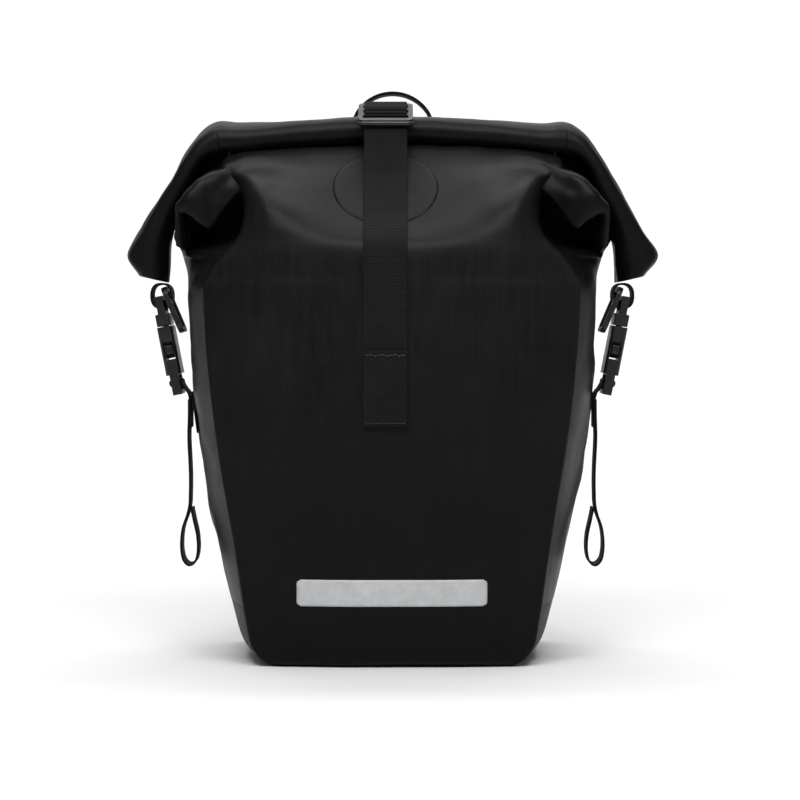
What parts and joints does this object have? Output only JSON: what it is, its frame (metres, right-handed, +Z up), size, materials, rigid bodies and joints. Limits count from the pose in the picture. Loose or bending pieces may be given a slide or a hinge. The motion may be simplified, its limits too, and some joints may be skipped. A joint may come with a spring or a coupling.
{
  "type": "pannier bag",
  "caption": "Roll-top bicycle pannier bag with side-release buckles, a centre strap, carrying handle and rack hooks with lift-to-open latches.",
  "frame": {"origin": "middle of the flat base, on the ground", "axes": "+X to the bag's right seen from the front, +Y towards the rack side, +Z up"},
  "size_m": [0.41, 0.2219, 0.4452],
  "materials": {
    "coated_fabric": "matt coated twill tarpaulin",
    "webbing": "ribbed woven webbing",
    "reflective": "silver-grey reflective film",
    "black_plastic": "satin moulded acetal or nylon",
    "liner_plastic": "matt moulded insert",
    "inner_plastic": "matt polythene sheet",
    "rail_aluminium": "black anodised",
    "steel": "zinc plated"
  },
  "bodies": {
    "bag": {"front_panel": "coated_fabric", "back_panel": "coated_fabric", "left_gusset": "coated_fabric", "right_gusset": "coated_fabric", "bottom_panel": "coated_fabric", "left_gusset_fold": "coated_fabric", "right_gusset_fold": "coated_fabric", "roll_closure": "coated_fabric", "left_tail": "coated_fabric", "right_tail": "coated_fabric", "strap_patch": "coated_fabric", "left_anchor_patch": "coated_fabric", "right_anchor_patch": "coated_fabric", "roll_stiffener": "inner_plastic", "back_plate": "inner_plastic", "centre_strap": "webbing", "buckle_webbing": "webbing", "reflective_strip": "reflective", "upper_rail": "rail_aluminium", "lower_rail": "rail_aluminium", "rail_screws": "steel", "hook_screws": "steel", "track_screws": "steel", "washers": "steel", "nuts": "steel", "left_hook": "black_plastic", "left_hook_liner": "liner_plastic", "left_latch_pin": "steel", "left_buckle_female": "black_plastic", "left_buckle_male": "black_plastic", "left_tail_loop": "webbing", "left_side_strap": "webbing", "left_pull_strap": "webbing", "right_hook": "black_plastic", "right_hook_liner": "liner_plastic", "right_latch_pin": "steel", "right_buckle_female": "black_plastic", "right_buckle_male": "black_plastic", "right_tail_loop": "webbing", "right_side_strap": "webbing", "right_pull_strap": "webbing"},
    "handle": {"handle_strap": "webbing"},
    "left_latch_lever": {"left_latch": "black_plastic"},
    "right_latch_lever": {"right_latch": "black_plastic"},
    "top_lock": {"ladder_lock": "black_plastic"},
    "left_ring": {"left_d_ring": "black_plastic"},
    "right_ring": {"right_d_ring": "black_plastic"},
    "left_front_catch": {"left_prong_front": "black_plastic"},
    "left_rear_catch": {"left_prong_rear": "black_plastic"},
    "right_front_catch": {"right_prong_front": "black_plastic"},
    "right_rear_catch": {"right_prong_rear": "black_plastic"},
    "hook_carriage": {"lower_hook_slider": "black_plastic", "lower_hook_pivot": "steel"},
    "swivel_hook": {"lower_hook": "black_plastic"}
  },
  "joints": [
    {"name": "handle_lift", "type": "slide", "parent": "bag", "child": "handle", "axis": [0, 0, 1], "range_m": [0, 0.0132]},
    {"name": "left_latch_turn", "type": "hinge", "parent": "bag", "child": "left_latch_lever", "pos_m": [-0.08, 0.1035, 0.3505], "axis": [1, 0, 0], "range_deg": [0, 35.2], "stiffness_Nm_per_rad": 0.02},
    {"name": "right_latch_turn", "type": "hinge", "parent": "bag", "child": "right_latch_lever", "pos_m": [0.08, 0.1035, 0.3505], "axis": [1, 0, 0], "range_deg": [0, 35.2], "stiffness_Nm_per_rad": 0.02},
    {"name": "ladder_lock_tilt", "type": "hinge", "parent": "bag", "child": "top_lock", "pos_m": [-0.005, -0.00214, 0.4246], "axis": [-1, 0, 0], "range_deg": [0, 35], "deforming": ["centre_strap"]},
    {"name": "left_d_ring_swing", "type": "hinge", "parent": "bag", "child": "left_ring", "pos_m": [-0.1775, 0.015, 0.2835], "axis": [0, 1, 0], "range_deg": [-4, 4]},
    {"name": "left_squeeze_front", "type": "hinge", "parent": "bag", "child": "left_front_catch", "pos_m": [-0.17729, 0.00525, 0.25478], "axis": [0.9816, 0, 0.1908], "range_deg": [0, 10], "stiffness_Nm_per_rad": 0.05},
    {"name": "left_squeeze_rear", "type": "hinge", "parent": "bag", "child": "left_rear_catch", "pos_m": [-0.17729, 0.02475, 0.25478], "axis": [-0.9816, 0, -0.1908], "range_deg": [0, 10], "stiffness_Nm_per_rad": 0.05},
    {"name": "right_d_ring_swing", "type": "hinge", "parent": "bag", "child": "right_ring", "pos_m": [0.1775, 0.015, 0.2835], "axis": [0, -1, 0], "range_deg": [-4, 4]},
    {"name": "right_squeeze_front", "type": "hinge", "parent": "bag", "child": "right_front_catch", "pos_m": [0.17729, 0.00525, 0.25478], "axis": [0.9816, 0, -0.1908], "range_deg": [0, 10], "stiffness_Nm_per_rad": 0.05},
    {"name": "right_squeeze_rear", "type": "hinge", "parent": "bag", "child": "right_rear_catch", "pos_m": [0.17729, 0.02475, 0.25478], "axis": [-0.9816, 0, 0.1908], "range_deg": [0, 10], "stiffness_Nm_per_rad": 0.05},
    {"name": "lower_hook_slide", "type": "slide", "parent": "bag", "child": "hook_carriage", "axis": [1, 0, 0], "range_m": [-0.072, 0.072]},
    {"name": "lower_hook_swivel", "type": "hinge", "parent": "hook_carriage", "child": "swivel_hook", "pos_m": [0, 0.0955, 0.11], "axis": [0, 1, 0], "range_deg": [-90, 90]}
  ],
  "couplings": [
    {"joint": "left_latch_turn", "follows": "handle_lift", "rad_per_m": 46.278},
    {"joint": "right_latch_turn", "follows": "handle_lift", "rad_per_m": 46.278},
    {"joint": "left_squeeze_rear", "follows": "left_squeeze_front", "ratio": 1},
    {"joint": "right_squeeze_rear", "follows": "right_squeeze_front", "ratio": 1}
  ]
}
